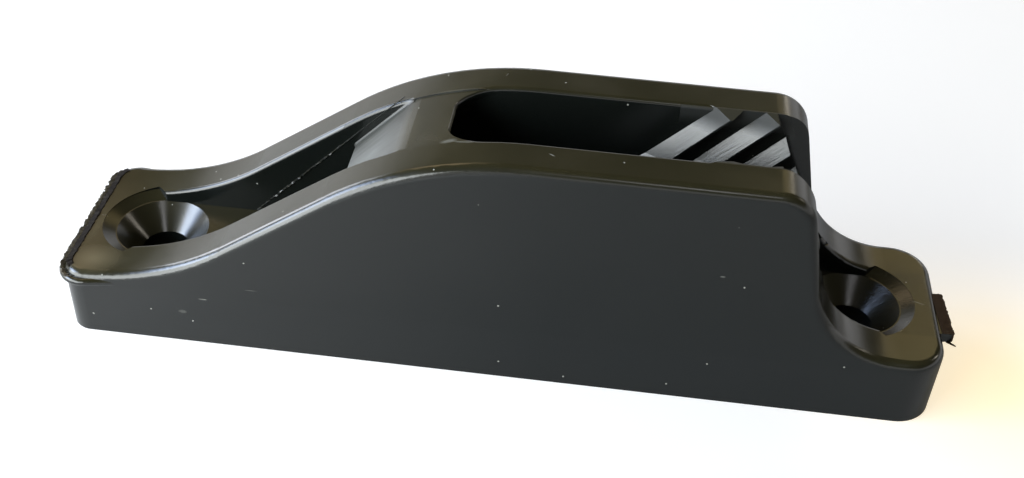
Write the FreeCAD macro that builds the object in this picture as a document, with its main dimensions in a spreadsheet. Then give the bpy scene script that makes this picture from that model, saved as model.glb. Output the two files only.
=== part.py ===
import FreeCAD, Part
import math
import os

import Sketcher
from FreeCAD import Vector

# A jam cleat for a small rope, moulded in one piece and screwed flat to a deck or spar.
# The base lies on Z = 0, the rope runs along X and enters at the -X end.
# The origin is the middle of the base, between the two ends.

NODE = "cleat_body"

# Driving sizes, in millimetres and degrees. Each row is alias, value, meaning.
SIZES = [
    ("base_length", 100.0, "length of the body at the parting line"),
    ("base_width", 21.6, "width of the body at the parting line"),
    ("top_level", 28.85, "height of the flat top above the deck"),
    ("parting_level", 7.1, "height of the mould parting line"),
    ("draft_above", 1.2, "side draft above the parting line"),
    ("draft_below", 0.6, "side draft below the parting line"),
    ("entry_corner", 2.7, "plan corner radius at the entry end"),
    ("tail_corner", 4.4, "plan corner radius at the tail end"),
    ("foot_level", 8.55, "height of both feet"),
    ("entry_foot", 2.5, "flat length of the foot at the entry end"),
    ("ramp_radius", 29.0, "hollow radius at the bottom of the ramp"),
    ("ramp_angle", 35.0, "slope of the ramp"),
    ("crest_radius", 37.3, "round radius from the ramp to the flat top"),
    ("tail_foot", 5.45, "flat length of the foot at the tail end"),
    ("tail_hollow", 10.25, "hollow radius above the tail foot"),
    ("tail_lean", 12.0, "lean of the tail faces from upright"),
    ("tail_round", 4.2, "round radius from the flat top to the tail face"),
    ("channel_width", 10.4, "width of the rope channel between the walls"),
    ("floor_level", 7.7, "height of the channel floor"),
    ("core_angle", 45.0, "slope of the bridge faces and of the ridges"),
    ("bridge_lip", 31.0, "entry end to the lower lip of the bridge"),
    ("bridge_run", 4.2, "thickness of the bridge, measured level"),
    ("lip_level", 18.6, "height of the flat underside of the bridge"),
    ("lip_round", 0.3, "round of the two lower edges of the bridge"),
    ("bridge_fillet", 0.3, "fillet between the bridge and the walls"),
    ("slot_corner", 3.2, "corner radius at the blind end of the slot"),
    ("bridge_sink", 0.15, "step from the wall strips down to the bridge"),
    ("bridge_ease", 4.0, "round where the bridge face meets its top"),
    ("ridge_start", 71.95, "entry end to the foot of the first ridge, at the flat top"),
    ("ridge_pitch", 5.4, "level spacing of the ridges"),
    ("ridge_run", 2.15, "level length of the long slope of a ridge"),
    ("ridge_rise", 1.25, "height of a ridge above the jaw"),
    ("ridge_crest", 0.3, "level width of the crest of a ridge"),
    ("ridge_count", 6, "ridges on each wall"),
    ("ridge_draft", 20.0, "draft of the short flank of a ridge"),
    ("jaw_knee", 22.0, "height where the jaws start to close to a V"),
    ("jaw_upper", 1.5, "lean of the jaws above the knee"),
    ("jaw_lower", 11.0, "lean of the jaws below the knee"),
    ("jaw_bevel", 27.0, "fall of the upper ends of the ridges"),
    ("screw_inset", 8.75, "entry end to the first screw"),
    ("tail_screw_inset", 9.55, "second screw to the tail end"),
    ("screw_hole", 5.34, "diameter of the screw holes"),
    ("sink_rim", 10.76, "diameter of the countersink at the floor"),
    ("sink_angle", 90.0, "included angle of the countersink"),
    ("recess_radius", 6.9, "radius of the recess around each screw head"),
    ("entry_wall_inset", 1.2, "first screw back to the start of the entry walls"),
    ("entry_recess_side", 2.5, "first screw back to where its recess turns in"),
    ("tail_wall_inset", 1.85, "second screw on to the end of the tail walls"),
    ("tail_recess_side", 3.0, "second screw on to where its recess turns in"),
    ("flare_radius", 4.4, "flare of the wall ends at the flat top"),
    ("flare_root", 0.5, "flare of the wall ends at its lower end"),
    ("flare_level", 11.5, "height where the flare has run out"),
    ("rim_fillet", 1.0, "round of the outer top edges"),
    ("wall_fillet", 0.5, "round of the inner top edges of the ramps"),
    ("slot_fillet", 0.5, "round of the inner top edges of the slot"),
    ("trim", 1.0, "overrun of the cuts above the top"),
    ("end_trim", 8.0, "overrun of the side profile past both ends"),
    ("gate_reach", 1.1, "length of the broken moulding gate at its near side"),
    ("gate_short", 0.6, "length of the broken gate at its far side"),
    ("gate_near", 4.4, "centre plane to the near side of the gate"),
    ("gate_far", 2.5, "centre plane to the far side of the gate"),
    ("gate_height", 1.15, "height of the broken gate"),
    ("bead_radius", 0.45, "radius of the parting bead at the entry end"),
    ("bead_reach", 0.2, "middle of the bead outside the parting outline"),
    ("bead_level", 0.35, "middle of the bead above the parting line"),
    ("bead_length", 8.0, "entry end to where the bead has run out"),
    ("bead_sink", 0.7, "middle of the bead inside the outline where it ends"),
]

doc = FreeCAD.newDocument("JamCleat")
sheet = doc.addObject("Spreadsheet::Sheet", "Sizes")
for row, (alias, value, meaning) in enumerate(SIZES, start=1):
    sheet.set("A%d" % row, meaning)
    sheet.set("B%d" % row, str(value))
    sheet.setAlias("B%d" % row, alias)
doc.recompute()


def size(name):
    return float(sheet.get(name))


def tangent(name):
    return math.tan(math.radians(size(name)))


body = doc.addObject("PartDesign::Body", NODE)
body.Label = NODE


def origin_plane(role):
    for feature in body.Origin.OriginFeatures:
        if feature.Role == role:
            return feature
    raise ValueError(role)


def new_sketch(name, role, height=None):
    sketch = body.newObject("Sketcher::SketchObject", name)
    sketch.AttachmentSupport = [(origin_plane(role), "")]
    sketch.MapMode = "FlatFace"
    if height:
        sketch.setExpression("AttachmentOffset.Base.z", height)
    doc.recompute()
    return sketch


def line(sketch, start, end):
    geometry = Part.LineSegment(Vector(start[0], start[1], 0), Vector(end[0], end[1], 0))
    return sketch.addGeometry(geometry, False)


def arc(sketch, centre, radius, first, last):
    circle = Part.Circle(Vector(centre[0], centre[1], 0), Vector(0, 0, 1), radius)
    geometry = Part.ArcOfCircle(circle, math.radians(first), math.radians(last))
    return sketch.addGeometry(geometry, False)


def finish(feature):
    # Faces here meet at fine steps, so no tolerance beyond the exact one is used to join them.
    if "FuzzyTolerance" in feature.PropertiesList:
        feature.FuzzyTolerance = 0
    doc.recompute()
    if "Invalid" in feature.State or "Error" in feature.State:
        raise RuntimeError("%s failed: %s" % (feature.Name, feature.State))
    if feature.Shape.isNull() or not feature.Shape.isValid():
        raise RuntimeError("%s gave no valid shape" % feature.Name)
    print("%-18s volume %10.2f faces %d" % (feature.Name, feature.Shape.Volume, len(feature.Shape.Faces)))
    return feature


def value(sketch, expression):
    return float(sketch.evalExpression(expression))


def place(sketch, index, end, x_text, y_text):
    # Ties one point of a sketch to two formulas of the sheet.
    x_now = value(sketch, x_text)
    y_now = value(sketch, y_text)
    first = sketch.addConstraint(Sketcher.Constraint("DistanceX", -1, 1, index, end, x_now))
    sketch.setExpression("Constraints[%d]" % first, x_text)
    second = sketch.addConstraint(Sketcher.Constraint("DistanceY", -1, 1, index, end, y_now))
    sketch.setExpression("Constraints[%d]" % second, y_text)


def polygon(sketch, corners):
    # A closed outline of straight sides through corners given as pairs of formulas.
    points = [(value(sketch, x_text), value(sketch, y_text)) for x_text, y_text in corners]
    sides = []
    for point, following in zip(points, points[1:] + points[:1]):
        sides.append(line(sketch, point, following))
    for index, side in enumerate(sides):
        neighbour = sides[(index + 1) % len(sides)]
        sketch.addConstraint(Sketcher.Constraint("Coincident", side, 2, neighbour, 1))
    for side, (x_text, y_text) in zip(sides, corners):
        place(sketch, side, 1, x_text, y_text)
    return sides


def measure(sketch, kind, index, number, expression):
    added = sketch.addConstraint(Sketcher.Constraint(kind, index, number))
    sketch.setExpression("Constraints[%d]" % added, expression)


def join(sketch, kind, first, first_end, second, second_end):
    sketch.addConstraint(Sketcher.Constraint(kind, first, first_end, second, second_end))


def settled(sketch):
    if sketch.solve() != 0:
        raise RuntimeError("%s does not solve" % sketch.Name)
    doc.recompute()
    if not sketch.FullyConstrained:
        raise RuntimeError("%s is not fully constrained" % sketch.Name)
    return sketch


def edges_where(feature, test):
    return ["Edge%d" % number for number, edge in enumerate(feature.Shape.Edges, start=1) if test(edge)]


def faces_where(feature, test):
    return ["Face%d" % number for number, face in enumerate(feature.Shape.Faces, start=1) if test(face)]


def samples(edge, count=7):
    return [edge.valueAt(at) for at in
            [edge.FirstParameter + (edge.LastParameter - edge.FirstParameter) * step / (count - 1)
             for step in range(count)]]


def upright(face):
    u_mid = (face.ParameterRange[0] + face.ParameterRange[1]) / 2
    v_mid = (face.ParameterRange[2] + face.ParameterRange[3]) / 2
    return abs(face.normalAt(u_mid, v_mid).z) < 0.5


# Outline of the whole body at the parting line, padded up and down and drafted both ways.

parting = body.newObject("PartDesign::Plane", "PartingPlane")
parting.AttachmentSupport = [(origin_plane("XY_Plane"), "")]
parting.MapMode = "FlatFace"
parting.setExpression("AttachmentOffset.Base.z", "Sizes.parting_level")
doc.recompute()

outline = new_sketch("Outline", "XY_Plane", "Sizes.parting_level")
half_length = size("base_length") / 2
half_width = size("base_width") / 2
near_round = size("entry_corner")
far_round = size("tail_corner")
south = line(outline, (near_round - half_length, -half_width), (half_length - far_round, -half_width))
east = line(outline, (half_length, far_round - half_width), (half_length, half_width - far_round))
north = line(outline, (half_length - far_round, half_width), (near_round - half_length, half_width))
west = line(outline, (-half_length, half_width - near_round), (-half_length, near_round - half_width))
south_east = arc(outline, (half_length - far_round, far_round - half_width), far_round, 270, 360)
north_east = arc(outline, (half_length - far_round, half_width - far_round), far_round, 0, 90)
north_west = arc(outline, (near_round - half_length, half_width - near_round), near_round, 90, 180)
south_west = arc(outline, (near_round - half_length, near_round - half_width), near_round, 180, 270)
for first, corner, second in ((south, south_east, east), (east, north_east, north),
                              (north, north_west, west), (west, south_west, south)):
    join(outline, "Tangent", first, 2, corner, 1)
    join(outline, "Tangent", corner, 2, second, 1)
for side in (south, north):
    outline.addConstraint(Sketcher.Constraint("Horizontal", side))
for side in (east, west):
    outline.addConstraint(Sketcher.Constraint("Vertical", side))
for index, radius, name in ((south_east, far_round, "tail_corner"), (north_east, far_round, "tail_corner"),
                            (north_west, near_round, "entry_corner"), (south_west, near_round, "entry_corner")):
    measure(outline, "Radius", index, radius, "Sizes." + name)
for kind, index, sign, name in (("DistanceX", east, 1, "base_length"), ("DistanceX", west, -1, "base_length"),
                                ("DistanceY", north, 1, "base_width"), ("DistanceY", south, -1, "base_width")):
    added = outline.addConstraint(Sketcher.Constraint(kind, -1, 1, index, 1, sign * size(name) / 2))
    outline.setExpression("Constraints[%d]" % added, "%d * Sizes.%s / 2" % (sign, name))
settled(outline)


def drafted(name, source, names, angle, inverted):
    draft = body.newObject("PartDesign::Draft", name)
    draft.Base = (source, names)
    draft.NeutralPlane = (parting, [""])
    draft.Reversed = inverted
    draft.setExpression("Angle", angle)
    return finish(draft)


upper = body.newObject("PartDesign::Pad", "UpperHalf")
upper.Profile = outline
upper.setExpression("Length", "Sizes.top_level + Sizes.trim - Sizes.parting_level")
finish(upper)
drafted("UpperDraft", upper, faces_where(upper, upright), "Sizes.draft_above", False)

lower = body.newObject("PartDesign::Pad", "LowerHalf")
lower.Profile = outline
lower.Reversed = True
lower.setExpression("Length", "Sizes.parting_level")
finish(lower)
drafted("LowerDraft", lower,
        faces_where(lower, lambda face: upright(face) and face.CenterOfMass.z < size("parting_level")),
        "Sizes.draft_below", True)


# Shared positions, as formulas of the sheet.

ENTRY = "-Sizes.base_length / 2"
EXIT = "Sizes.base_length / 2"
OVER = "Sizes.top_level + Sizes.trim"
SLOPE = "tan(Sizes.core_angle * 1deg)"
FIRST_SCREW = ENTRY + " + Sizes.screw_inset"
SECOND_SCREW = EXIT + " - Sizes.tail_screw_inset"
WALL = "Sizes.channel_width / 2"


def core_line(offset, level):
    # Level position, at a height, of a line of the core slope that starts at the lip height.
    return "(%s) + (%s - Sizes.lip_level) / %s" % (offset, level, SLOPE)


def pocket_through(name, sketch, width):
    pocket = body.newObject("PartDesign::Pocket", name)
    pocket.Profile = sketch
    pocket.SideType = "Symmetric"
    pocket.setExpression("Length", width)
    return finish(pocket)


def fillet(name, base, names, radius):
    rounded = body.newObject("PartDesign::Fillet", name)
    rounded.Base = (base, names)
    rounded.setExpression("Radius", radius)
    return finish(rounded)


# The rope channel from end to end, around the section of the bridge that spans it.

face = ENTRY + " + Sizes.bridge_lip"
blind = face + " + Sizes.bridge_run"
back = blind + " + Sizes.slot_corner"
channel_sketch = new_sketch("ChannelSection", "XZ_Plane")
polygon(channel_sketch, [
    (FIRST_SCREW + " - Sizes.entry_wall_inset", "Sizes.floor_level"),
    (SECOND_SCREW + " + Sizes.tail_wall_inset", "Sizes.floor_level"),
    (SECOND_SCREW + " + Sizes.tail_wall_inset", OVER),
    (core_line(back, OVER), OVER),
    (back, "Sizes.lip_level"),
    (face, "Sizes.lip_level"),
    (core_line(face, OVER), OVER),
    (FIRST_SCREW + " - Sizes.entry_wall_inset", OVER),
])
settled(channel_sketch)
channel = pocket_through("Channel", channel_sketch, "Sizes.channel_width")

lip_level = size("lip_level")
lip_edges = edges_where(channel, lambda edge: edge.Curve.TypeId == "Part::GeomLine"
                        and abs(abs(edge.tangentAt(edge.FirstParameter).y) - 1) < 0.001
                        and abs(edge.CenterOfMass.z - lip_level) < 0.001)
lips = fillet("LipRound", channel, lip_edges, "Sizes.lip_round")

wall = size("channel_width") / 2
face_now = size("bridge_lip") - size("base_length") / 2


def on_face(edge):
    middle = edge.CenterOfMass
    offset = (middle.z - lip_level) / tangent("core_angle")
    return (abs(abs(middle.y) - wall) < 0.001 and middle.z > lip_level + 1
            and abs(middle.x - face_now - offset) < 0.001)


bridge = fillet("BridgeFillet", lips, edges_where(lips, on_face), "Sizes.bridge_fillet")

# The blind end of the slot, rounded in plan and sunk along the slope of the core.

guide = new_sketch("CoreLine", "XZ_Plane")
guide_line = line(guide, (0, 0), (10 / tangent("core_angle"), 10))
guide.addConstraint(Sketcher.Constraint("Coincident", -1, 1, guide_line, 1))
place(guide, guide_line, 2, "Sizes.lip_level / " + SLOPE, "Sizes.lip_level")
settled(guide)

blind_top = core_line(blind, OVER)
open_end = blind_top + " + 2 * Sizes.slot_corner"
slot_sketch = new_sketch("SlotEnd", "XY_Plane", OVER)
left_now = value(slot_sketch, blind_top)
right_now = value(slot_sketch, open_end)
corner = size("slot_corner")
slot_left = line(slot_sketch, (left_now, wall - corner), (left_now, corner - wall))
slot_low = arc(slot_sketch, (left_now + corner, corner - wall), corner, 180, 270)
slot_south = line(slot_sketch, (left_now + corner, -wall), (right_now, -wall))
slot_right = line(slot_sketch, (right_now, -wall), (right_now, wall))
slot_north = line(slot_sketch, (right_now, wall), (left_now + corner, wall))
slot_high = arc(slot_sketch, (left_now + corner, wall - corner), corner, 90, 180)
join(slot_sketch, "Tangent", slot_left, 2, slot_low, 1)
join(slot_sketch, "Tangent", slot_low, 2, slot_south, 1)
join(slot_sketch, "Coincident", slot_south, 2, slot_right, 1)
join(slot_sketch, "Coincident", slot_right, 2, slot_north, 1)
join(slot_sketch, "Tangent", slot_north, 2, slot_high, 1)
join(slot_sketch, "Tangent", slot_high, 2, slot_left, 1)
slot_sketch.addConstraint(Sketcher.Constraint("Vertical", slot_left))
place(slot_sketch, slot_right, 1, open_end, "-" + WALL)
place(slot_sketch, slot_right, 2, open_end, WALL)
slot_sketch.addConstraint(Sketcher.Constraint("Horizontal", slot_south))
slot_sketch.addConstraint(Sketcher.Constraint("Horizontal", slot_north))
measure(slot_sketch, "Radius", slot_low, corner, "Sizes.slot_corner")
measure(slot_sketch, "Radius", slot_high, corner, "Sizes.slot_corner")
added = slot_sketch.addConstraint(Sketcher.Constraint("DistanceX", -1, 1, slot_low, 1, left_now))
slot_sketch.setExpression("Constraints[%d]" % added, blind_top)
settled(slot_sketch)
slot_end = body.newObject("PartDesign::Pocket", "SlotEndCut")
slot_end.Profile = slot_sketch
slot_end.UseCustomVector = False
slot_end.ReferenceAxis = (guide, ["Edge1"])
slot_end.AlongSketchNormal = True
slot_end.setExpression("Length", OVER + " - Sizes.lip_level + 2 * Sizes.lip_round")
finish(slot_end)
print("slot end direction", slot_end.Direction)

# Side profile: entry foot, hollow, ramp, crest, flat top, round, lean, hollow, tail foot.

profile = new_sketch("SideProfile", "XZ_Plane")
turn = math.radians(size("ramp_angle"))
lean = math.radians(size("tail_lean"))
foot = size("foot_level")
top = size("top_level")
left = -half_length
right = half_length
start = left + size("entry_foot")
hollow = size("ramp_radius")
crest = size("crest_radius")
ramp_rise = top - foot - (hollow + crest) * (1 - math.cos(turn))
ramp_foot = (start + hollow * math.sin(turn), foot + hollow * (1 - math.cos(turn)))
ramp_head = (ramp_foot[0] + ramp_rise / math.tan(turn), ramp_foot[1] + ramp_rise)
crest_end = (ramp_head[0] + crest * math.sin(turn), top)
finish_x = right - size("tail_foot")
bend = size("tail_hollow")
round_now = size("tail_round")
lean_foot = (finish_x - bend * math.cos(lean), foot + bend * (1 - math.sin(lean)))
lean_head_z = top - round_now * (1 - math.sin(lean))
lean_head = (lean_foot[0] - (lean_head_z - lean_foot[1]) * math.tan(lean), lean_head_z)
round_start = lean_head[0] - round_now * math.cos(lean)
over = value(profile, OVER)
reach = size("end_trim")
a_foot = line(profile, (left - reach, foot), (start, foot))
a_hollow = arc(profile, (start, foot + hollow), hollow, 270, 270 + size("ramp_angle"))
a_ramp = line(profile, ramp_foot, ramp_head)
a_crest = arc(profile, (crest_end[0], top - crest), crest, 90, 90 + size("ramp_angle"))
a_top = line(profile, crest_end, (round_start, top))
a_round = arc(profile, (round_start, top - round_now), round_now, size("tail_lean"), 90)
a_lean = line(profile, lean_foot, lean_head)
a_bend = arc(profile, (finish_x, foot + bend), bend, 180 + size("tail_lean"), 270)
a_tail = line(profile, (finish_x, foot), (right + reach, foot))
a_rise = line(profile, (right + reach, foot), (right + reach, over))
a_roof = line(profile, (right + reach, over), (left - reach, over))
a_drop = line(profile, (left - reach, over), (left - reach, foot))
join(profile, "Tangent", a_foot, 2, a_hollow, 1)
join(profile, "Tangent", a_hollow, 2, a_ramp, 1)
join(profile, "Tangent", a_ramp, 2, a_crest, 2)
join(profile, "Tangent", a_crest, 1, a_top, 1)
join(profile, "Tangent", a_top, 2, a_round, 2)
join(profile, "Tangent", a_round, 1, a_lean, 2)
join(profile, "Tangent", a_lean, 1, a_bend, 1)
join(profile, "Tangent", a_bend, 2, a_tail, 1)
join(profile, "Coincident", a_tail, 2, a_rise, 1)
join(profile, "Coincident", a_rise, 2, a_roof, 1)
join(profile, "Coincident", a_roof, 2, a_drop, 1)
join(profile, "Coincident", a_drop, 2, a_foot, 1)
place(profile, a_foot, 1, ENTRY + " - Sizes.end_trim", "Sizes.foot_level")
place(profile, a_foot, 2, ENTRY + " + Sizes.entry_foot", "Sizes.foot_level")
measure(profile, "Radius", a_hollow, hollow, "Sizes.ramp_radius")
measure(profile, "Angle", a_ramp, turn, "Sizes.ramp_angle * 1deg")
measure(profile, "Radius", a_crest, crest, "Sizes.crest_radius")
profile.addConstraint(Sketcher.Constraint("Horizontal", a_top))
added = profile.addConstraint(Sketcher.Constraint("DistanceY", -1, 1, a_top, 1, top))
profile.setExpression("Constraints[%d]" % added, "Sizes.top_level")
measure(profile, "Radius", a_round, round_now, "Sizes.tail_round")
measure(profile, "Angle", a_lean, math.pi / 2 + lean, "(90 + Sizes.tail_lean) * 1deg")
measure(profile, "Radius", a_bend, bend, "Sizes.tail_hollow")
place(profile, a_tail, 1, EXIT + " - Sizes.tail_foot", "Sizes.foot_level")
place(profile, a_tail, 2, EXIT + " + Sizes.end_trim", "Sizes.foot_level")
place(profile, a_roof, 1, EXIT + " + Sizes.end_trim", OVER)
place(profile, a_roof, 2, ENTRY + " - Sizes.end_trim", OVER)
settled(profile)
shaped = pocket_through("ProfileCut", profile, "Sizes.base_width + 2 * Sizes.trim")

# Screw holes with their countersinks in the channel floor, and a shallow recess round each.

screws = new_sketch("Screws", "XY_Plane", "Sizes.floor_level")
for index, position in enumerate((FIRST_SCREW, SECOND_SCREW)):
    circle = Part.Circle(Vector(value(screws, position), 0, 0), Vector(0, 0, 1), size("screw_hole") / 2)
    hole_index = screws.addGeometry(circle, False)
    place(screws, hole_index, 3, position, "0")
    measure(screws, "Radius", hole_index, size("screw_hole") / 2, "Sizes.screw_hole / 2")
settled(screws)

# A shallow recess round each screw head opens into the channel.

def recess(name, position, wall_side, arc_side, sign):
    sketch = new_sketch(name, "XY_Plane", "Sizes.floor_level")
    radius = size("recess_radius")
    centre = value(sketch, position)
    inset = sign * size(arc_side)
    rise = math.sqrt(radius ** 2 - inset ** 2)
    shoulder = centre + sign * size(wall_side)
    lower_corner = (centre + inset, -rise)
    upper_corner = (centre + inset, rise)
    opening = math.degrees(math.acos(inset / radius))
    bow = arc(sketch, (centre, 0), radius, opening if sign < 0 else -opening, -opening if sign < 0 else opening)
    lower_first = sign > 0
    high = line(sketch, upper_corner, (shoulder, wall))
    back_high = line(sketch, (shoulder, wall), (centre, wall))
    close = line(sketch, (centre, wall), (centre, -wall))
    back_low = line(sketch, (centre, -wall), (shoulder, -wall))
    low = line(sketch, (shoulder, -wall), lower_corner)
    join(sketch, "Coincident", bow, 2 if lower_first else 1, high, 1)
    join(sketch, "Coincident", high, 2, back_high, 1)
    join(sketch, "Coincident", back_high, 2, close, 1)
    join(sketch, "Coincident", close, 2, back_low, 1)
    join(sketch, "Coincident", back_low, 2, low, 1)
    join(sketch, "Coincident", low, 2, bow, 1 if lower_first else 2)
    place(sketch, bow, 3, position, "0")
    measure(sketch, "Radius", bow, radius, "Sizes.recess_radius")
    place(sketch, back_high, 1, "%s + %d * Sizes.%s" % (position, sign, wall_side), WALL)
    place(sketch, close, 1, position, WALL)
    place(sketch, back_low, 1, position, "-" + WALL)
    place(sketch, low, 1, "%s + %d * Sizes.%s" % (position, sign, wall_side), "-" + WALL)
    for end in (1, 2):
        added = sketch.addConstraint(Sketcher.Constraint("DistanceX", -1, 1, bow, end, centre + inset))
        sketch.setExpression("Constraints[%d]" % added, "%s + %d * Sizes.%s" % (position, sign, arc_side))
    settled(sketch)
    pocket = body.newObject("PartDesign::Pocket", name + "Cut")
    pocket.Profile = sketch
    pocket.Reversed = True
    pocket.setExpression("Length", OVER + " - Sizes.floor_level")
    return finish(pocket)


recess("EntryRecess", FIRST_SCREW, "entry_wall_inset", "entry_recess_side", -1)
recess("TailRecess", SECOND_SCREW, "tail_wall_inset", "tail_recess_side", 1)

# The outer top edges are rounded all the way round, and the inner ones along the walls.

ROOF = size("foot_level") - 0.05 * size("rim_fillet")
OUTSIDE = half_width - 2 * size("rim_fillet")
BEYOND = half_length - size("rim_fillet")


def on_rim(edge):
    points = samples(edge)
    high = min(point.z for point in points) > ROOF
    out = all(abs(point.y) > OUTSIDE or abs(point.x) > BEYOND for point in points)
    return high and out


rim = fillet("RimFillet", body.Tip, edges_where(body.Tip, on_rim), "Sizes.rim_fillet")


def on_inner_edge(edge):
    points = samples(edge)
    flush = all(abs(abs(point.y) - wall) < 0.001 for point in points)
    return flush and min(point.z for point in points) > ROOF


def straight_on_wall(edge):
    return on_inner_edge(edge) and edge.Curve.TypeId == "Part::GeomLine"


def on_ramp(edge):
    direction = edge.tangentAt(edge.FirstParameter)
    return straight_on_wall(edge) and abs(abs(direction.z) - math.sin(turn)) < 0.001 and edge.CenterOfMass.x < 0


def on_flat_top(edge):
    return straight_on_wall(edge) and abs(edge.CenterOfMass.z - top) < 0.001


entry_walls = fillet("EntryWallFillet", rim, edges_where(rim, on_ramp), "Sizes.wall_fillet")
slot_walls = fillet("SlotWallFillet", entry_walls, edges_where(entry_walls, on_flat_top), "Sizes.slot_fillet")

# The jaws close downwards. Ridges run along the slope of the core on both of them, each with a
# long slope towards the entry and a short steep flank towards the tail.

FLANK = "tan(Sizes.ridge_draft * 1deg)"
GRADE = "(Sizes.ridge_run / Sizes.ridge_rise)"
UNDER = "(Sizes.floor_level - Sizes.trim)"
ROOT = "(" + WALL + " + Sizes.trim)"
UPPER_LEAN = "tan(Sizes.jaw_upper * 1deg)"
LOWER_LEAN = "tan(Sizes.jaw_lower * 1deg)"
AT_KNEE = "(Sizes.top_level - Sizes.jaw_knee) * " + UPPER_LEAN
LEVELS = (
    ("Foot", UNDER, "(%s + (Sizes.jaw_knee - %s) * %s)" % (AT_KNEE, UNDER, LOWER_LEAN)),
    ("Knee", "Sizes.jaw_knee", "(" + AT_KNEE + ")"),
    ("Head", OVER, "(-Sizes.trim * " + UPPER_LEAN + ")"),
)
ROW = "(Sizes.ridge_count - 1) * Sizes.ridge_pitch"


def foot_of_first(level):
    return ENTRY + " + Sizes.ridge_start + ((%s) - Sizes.top_level) / %s" % (level, SLOPE)


def lofted(name, corners_at):
    # A straight-sided loft through one section at each level of the jaws.
    sections = []
    for part, level, closing in LEVELS:
        sketch = new_sketch(name + part, "XY_Plane", level)
        polygon(sketch, corners_at(level, closing))
        sections.append(settled(sketch))
    loft = body.newObject("PartDesign::AdditiveLoft", name)
    loft.Profile = sections[0]
    loft.Sections = sections[1:]
    loft.Ruled = True
    return finish(loft)


def jaw_corners(level, closing):
    start = foot_of_first(level) + " + Sizes.ridge_run / 2"
    end = foot_of_first(level) + " + Sizes.ridge_run + " + ROW
    inside = "%s - %s" % (WALL, closing)
    return [(start, inside), (end, inside), (end, ROOT), (start, ROOT)]


def ridge_corners(level, closing):
    start = foot_of_first(level)
    crest = "%s - %s - Sizes.ridge_rise" % (WALL, closing)
    return [
        (start + " + Sizes.ridge_run", crest),
        (start + " + Sizes.ridge_run + Sizes.ridge_crest", crest),
        (start + " + Sizes.ridge_run + Sizes.ridge_crest + (%s - (%s)) * %s" % (ROOT, crest, FLANK), ROOT),
        (start + " - (%s + Sizes.trim) * %s" % (closing, GRADE), ROOT),
    ]


jaw = lofted("Jaw", jaw_corners)
other_jaw = body.newObject("PartDesign::Mirrored", "OtherJaw")
other_jaw.Originals = [jaw]
other_jaw.MirrorPlane = (origin_plane("XZ_Plane"), [""])
body.Tip = other_jaw
finish(other_jaw)

ridge = lofted("Ridge", ridge_corners)
ridges = body.newObject("PartDesign::MultiTransform", "Ridges")
row = body.newObject("PartDesign::LinearPattern", "RidgeRow")
row.Direction = (origin_plane("X_Axis"), [""])
row.Mode = "Spacing"
row.setExpression("Offset", "Sizes.ridge_pitch")
row.setExpression("Occurrences", "Sizes.ridge_count")
other_wall = body.newObject("PartDesign::Mirrored", "OtherWall")
other_wall.MirrorPlane = (origin_plane("XZ_Plane"), [""])
ridges.Originals = [ridge]
ridges.Transformations = [row, other_wall]
body.Tip = ridges
finish(ridges)

trimmed = body.newObject("PartDesign::Pocket", "ProfileTrim")
trimmed.Profile = profile
trimmed.SideType = "Symmetric"
trimmed.setExpression("Length", "Sizes.base_width + 2 * Sizes.trim")
finish(trimmed)

# The upper ends of the ridges fall away from the wall strips into the slot.

bevel_sketch = new_sketch("RidgeEnds", "YZ_Plane", foot_of_first("Sizes.top_level") + " - Sizes.ridge_pitch")
bevel_low = "Sizes.top_level - %s * tan(Sizes.jaw_bevel * 1deg)" % WALL
polygon(bevel_sketch, [
    ("0", bevel_low),
    (WALL, "Sizes.top_level"),
    (WALL, OVER),
    ("-" + WALL, OVER),
    ("-" + WALL, "Sizes.top_level"),
])
settled(bevel_sketch)
bevel = body.newObject("PartDesign::Pocket", "RidgeEndCut")
bevel.Profile = bevel_sketch
bevel.Reversed = True
bevel.setExpression("Length", "Sizes.base_length")
finish(bevel)

# The inner ends of both walls open like a horn towards the tail and run out lower down.

TAIL_FACE = EXIT + " - Sizes.tail_foot - Sizes.tail_hollow * cos(Sizes.tail_lean * 1deg)"


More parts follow.
